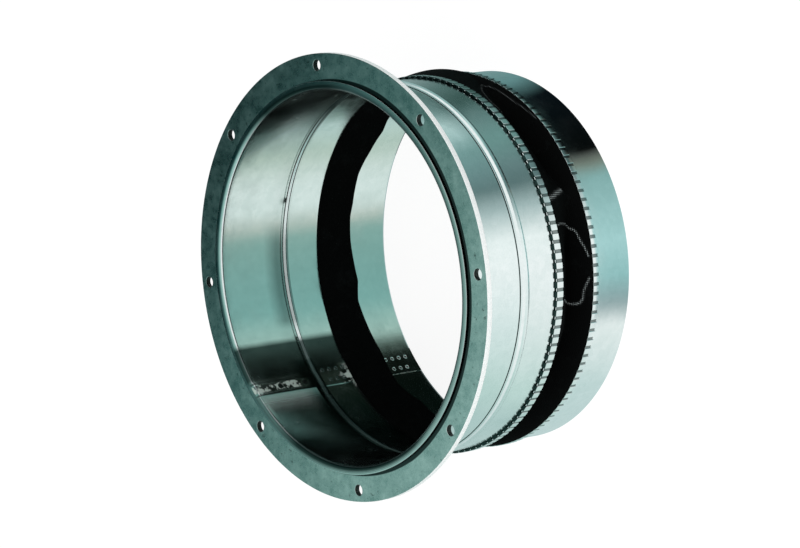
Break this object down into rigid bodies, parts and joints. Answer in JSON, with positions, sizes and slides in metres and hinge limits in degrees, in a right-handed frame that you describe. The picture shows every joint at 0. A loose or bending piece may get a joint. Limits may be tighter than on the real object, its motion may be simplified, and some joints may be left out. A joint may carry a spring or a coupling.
{
  "type": "flexible duct connector",
  "caption": "Round flexible duct connector: flanged steel sleeve, toothed hems on a slack black fabric band, and a plain steel collar.",
  "frame": {"origin": "on the duct axis, in the plane of the plain collar's rim", "axes": "+Z along the duct axis from the collar to the flange, +X through one flange hole; the lap seams lie on one line at about -141 degrees"},
  "size_m": [0.3759, 0.376, 0.185],
  "materials": {
    "flange_steel": "matt zinc plating, mottled",
    "sheet_steel": "galvanised sheet, satin with soft spangle",
    "coated_fabric": "black coated woven fabric"
  },
  "bodies": {
    "collar": {"rear_strip": "sheet_steel"},
    "band": {"fabric_band": "coated_fabric"},
    "sleeve": {"front_sleeve": "sheet_steel", "front_strip": "sheet_steel"},
    "flange": {"flange_ring": "flange_steel"}
  },
  "joints": [
    {"name": "band_stretch", "type": "slide", "parent": "collar", "child": "band", "axis": [0, 0, 1], "range_m": [-0.018, 0.012], "deforming": ["fabric_band"]},
    {"name": "sleeve_tilt", "type": "hinge", "parent": "band", "child": "sleeve", "pos_m": [0, 0, 0.0595], "axis": [1, 0, 0], "range_deg": [-5, 5], "deforming": ["fabric_band"]},
    {"name": "flange_turn", "type": "hinge", "parent": "sleeve", "child": "flange", "pos_m": [0, 0, 0.18], "axis": [0, 0, 1], "continuous": true}
  ]
}
